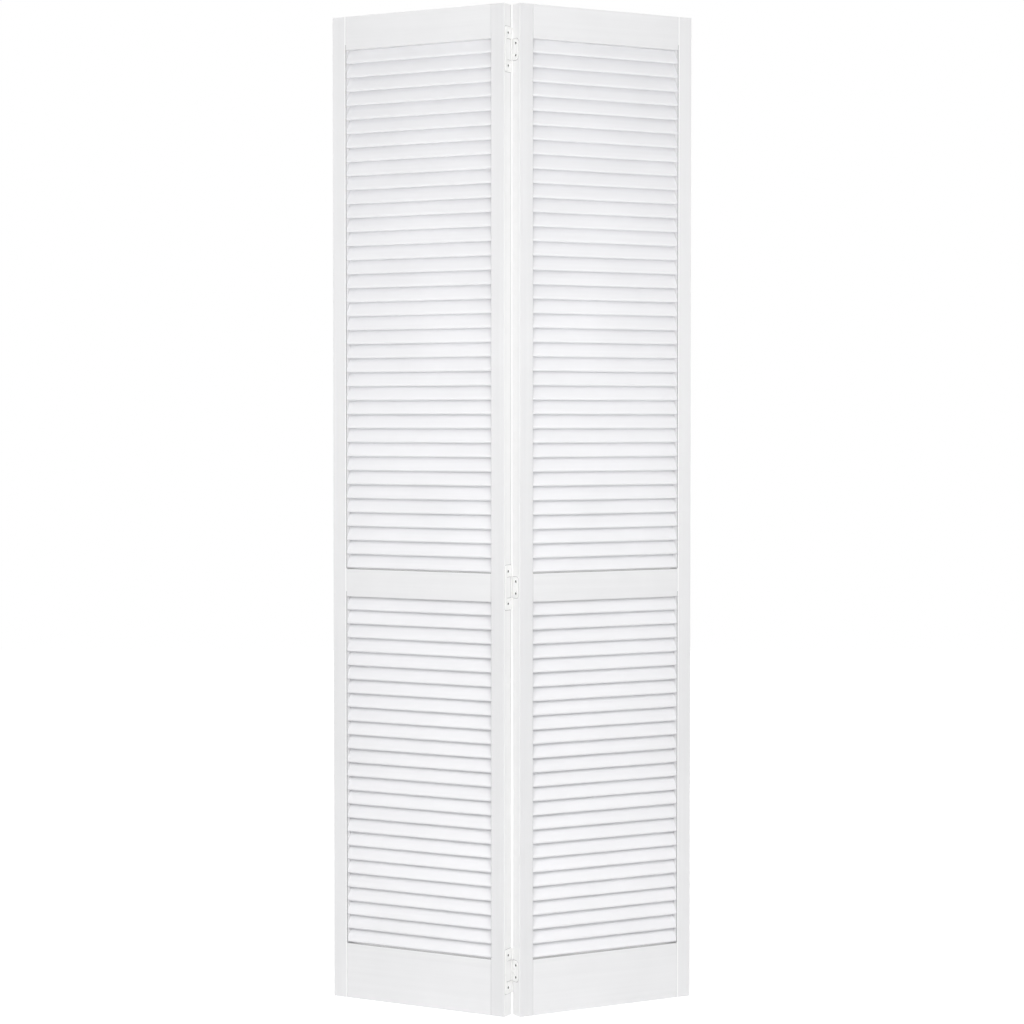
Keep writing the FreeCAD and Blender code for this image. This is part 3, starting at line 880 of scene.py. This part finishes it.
class DOOR_OT_fit_slats(bpy.types.Operator):
    """Makes the slats of both leaves and paints them"""
    bl_idname = "louvred_door.fit_slats"
    bl_label = "Fit the slats"

    def execute(self, context):
        paint, timber = context.scene.door_paint, context.scene.door_timber
        dice = random.Random(timber.seed)
        for leaf in LEAVES:
            enamel = sprayed_enamel(f"{leaf}_slat_enamel", leaf, "x", paint.slat_paint, paint)
            for bank in BANKS:
                fit(louvres(leaf, bank, timber, dice), f"{leaf}_{bank}_louvres", leaf, [enamel],
                    f"{leaf}_{bank}_slats")
        return {"FINISHED"}


class DOOR_OT_set_dowels(bpy.types.Operator):
    """Makes the dowels inside the frame's joints"""
    bl_idname = "louvred_door.set_dowels"
    bl_label = "Set the dowels"

    def execute(self, context):
        for leaf in LEAVES:
            wood = turned_beech(leaf)
            for rail in RAILS:
                fit(fluted_dowels(leaf, rail, context.scene.door_timber),
                    f"{leaf}_{rail}_fluted_dowels", leaf, [wood],
                    f"{leaf}_{rail}_rail_dowels")
        return {"FINISHED"}


class DOOR_OT_fit_hinges(bpy.types.Operator):
    """Makes the hinge leaves and their pins"""
    bl_idname = "louvred_door.fit_hinges"
    bl_label = "Fit the hinges"

    def execute(self, context):
        settings = context.scene.door_hinges
        enamel = stoved_enamel(context.scene.door_paint.hinge_enamel)
        zinc = zinc_plate()
        for hinge in HINGES:
            fit(outer_hinge_leaf(hinge, settings), f"{hinge}_c_plate", "pivot", [enamel],
                f"{hinge}_hinge_outer_leaf")
            fit(inner_hinge_leaf(hinge, settings), f"{hinge}_nested_plate", "lead", [enamel],
                f"{hinge}_hinge_inner_leaf")
            fit(hinge_pin(hinge), f"{hinge}_domed_pin", "pivot", [zinc],
                f"{hinge}_hinge_pin")
        return {"FINISHED"}


class DOOR_OT_drive_screws(bpy.types.Operator):
    """Makes the hinges' wood screws"""
    bl_idname = "louvred_door.drive_screws"
    bl_label = "Drive the screws"

    def execute(self, context):
        settings = context.scene.door_hinges
        dice = random.Random(context.scene.door_timber.seed)
        finishes = [bpy.data.materials["stoved_enamel"], shaded_recess_steel()]
        for hinge in HINGES:
            for part, leaf in (("outer", "pivot"), ("inner", "lead")):
                node = f"{hinge}_hinge_{part}_screws"
                fit(wood_screws(node, leaf, settings, dice), f"{hinge}_{part}_wood_screws", leaf,
                    finishes, node)
        return {"FINISHED"}


class DOOR_OT_build_stage(bpy.types.Operator):
    """Lays the floor, hangs the lights and places the camera"""
    bl_idname = "louvred_door.build_stage"
    bl_label = "Build the stage"

    def execute(self, context):
        settings = context.scene.door_stage
        self.lay_floor(context)
        self.light_room(context, settings.room_light)
        for side, name in ((-1, "left_key"), (1, "right_key")):
            self.hang_light(context, name, settings.key_power, beam=settings.key_beam,
                            size=(1.0, 1.0), place=(1.2 * side, -2.8, 1.9), aim=(0, 0, 0.1))
        self.hang_light(context, "front_fill", settings.fill_power, beam=settings.fill_beam,
                        size=(3.0, 0.5), place=(0, -3.0, 1.1), aim=(0, 0, 2.2))
        self.hang_light(context, "back_light", settings.back_power, beam=math.pi,
                        size=(1.6, 1.6), place=(0, 3.2, 1.0), aim=(0, 0, 1.0))
        self.place_camera(context, settings)
        context.scene.view_settings.view_transform = "Standard"
        return {"FINISHED"}

    def lay_floor(self, context):
        """A pale matt floor, lifted to white for the camera, that keeps the door's shadow."""
        half_width, glow_strength = 8, 0.88  # m, and a share of white
        mesh = bpy.data.meshes.new("floor")
        shape = bmesh.new()
        bmesh.ops.create_grid(shape, x_segments=1, y_segments=1, size=half_width)
        shape.to_mesh(mesh)
        shape.free()
        floor = bpy.data.objects.new("floor", mesh)
        context.scene.collection.objects.link(floor)
        material, tree = new_material("studio_floor")
        matt = add(tree, "BsdfDiffuse", {"Color": linear("#E8E8E8")})
        dimmed = add(tree, "BsdfDiffuse", {"Color": linear("#9A9A9A")})
        glow = add(tree, "Emission", {"Color": linear("#FFFFFF"), "Strength": glow_strength})
        lifted = add(tree, "AddShader", {0: dimmed, 1: glow})
        surface = add(tree, "MixShader", {0: self.seen(tree), 1: matt, 2: lifted})
        add(tree, "OutputMaterial", {"Surface": surface})
        mesh.materials.append(material)

    def light_room(self, context, strength):
        """An even light from all round, which the camera and mirrors see as white."""
        world = bpy.data.worlds.new("studio")
        context.scene.world = world
        world.use_nodes = True
        tree = world.node_tree
        tree.nodes.clear()
        level = add(tree, "MapRange", {"Value": self.seen(tree), "To Min": strength, "To Max": 1.0})
        background = add(tree, "Background", {"Color": linear("#FFFFFF"), "Strength": level})
        add(tree, "OutputWorld", {"Surface": background})

    def seen(self, tree):
        """1 for the camera's rays and for those that metal or glass sends on, else 0."""
        path = add(tree, "LightPath").outputs
        sent_on = add(tree, "Math", {0: path["Is Glossy Ray"], 1: path["Is Transmission Ray"]},
                      operation="MAXIMUM")
        return add(tree, "Math", {0: path["Is Camera Ray"], 1: sent_on}, operation="MAXIMUM")

    def hang_light(self, context, name, power, beam, size, place, aim):
        """Hangs a soft box that the camera doesn't see."""
        lamp = bpy.data.lights.new(name, "AREA")
        lamp.shape = "RECTANGLE"
        lamp.size, lamp.size_y = size
        lamp.energy = power
        lamp.spread = beam
        light = bpy.data.objects.new(name, lamp)
        light.location = place
        light.visible_camera = False
        light.rotation_euler = (Vector(aim) - light.location).to_track_quat("-Z", "Y").to_euler()
        context.scene.collection.objects.link(light)

    def place_camera(self, context, settings):
        """A camera in front of the door, square to it and tilted down a little."""
        lens = bpy.data.cameras.new("camera")
        lens.lens = settings.camera_lens
        lens.sensor_width = 36.0
        lens.shift_y = settings.camera_shift
        camera = bpy.data.objects.new("camera", lens)
        camera.location = (0, -settings.camera_distance, settings.camera_height)
        camera.rotation_euler = (math.radians(90) - settings.camera_tilt, 0, 0)
        context.scene.collection.objects.link(camera)
        context.scene.camera = camera


class DOOR_PT_sidebar(bpy.types.Panel):
    """Lists the settings and the steps"""
    bl_idname = "DOOR_PT_sidebar"
    bl_label = "Louvred door"
    bl_space_type = "VIEW_3D"
    bl_region_type = "UI"
    bl_category = "Louvred door"

    def draw(self, context):
        for name in SETTINGS:
            group = getattr(context.scene, name)
            for value in group.__annotations__:
                self.layout.prop(group, value)
        for operator in OPERATORS:
            self.layout.operator(operator.bl_idname)


SETTINGS = {
    "door_paint": PaintSettings,
    "door_timber": TimberSettings,
    "door_hinges": HingeSettings,
    "door_stage": StageSettings,
}
OPERATORS = (DOOR_OT_paint_frame, DOOR_OT_fit_slats, DOOR_OT_set_dowels, DOOR_OT_fit_hinges,
             DOOR_OT_drive_screws, DOOR_OT_build_stage)
CLASSES = tuple(SETTINGS.values()) + OPERATORS + (DOOR_PT_sidebar,)


def register():
    for cls in CLASSES:
        bpy.utils.register_class(cls)
    for name, group in SETTINGS.items():
        setattr(bpy.types.Scene, name, PointerProperty(type=group))


def unregister():
    for name in SETTINGS:
        delattr(bpy.types.Scene, name)
    for cls in reversed(CLASSES):
        bpy.utils.unregister_class(cls)


def main():
    register()
    bpy.ops.louvred_door.paint_frame()
    bpy.ops.louvred_door.fit_slats()
    bpy.ops.louvred_door.set_dowels()
    bpy.ops.louvred_door.fit_hinges()
    bpy.ops.louvred_door.drive_screws()
    bpy.ops.louvred_door.build_stage()


if __name__ == "__main__":
    main()
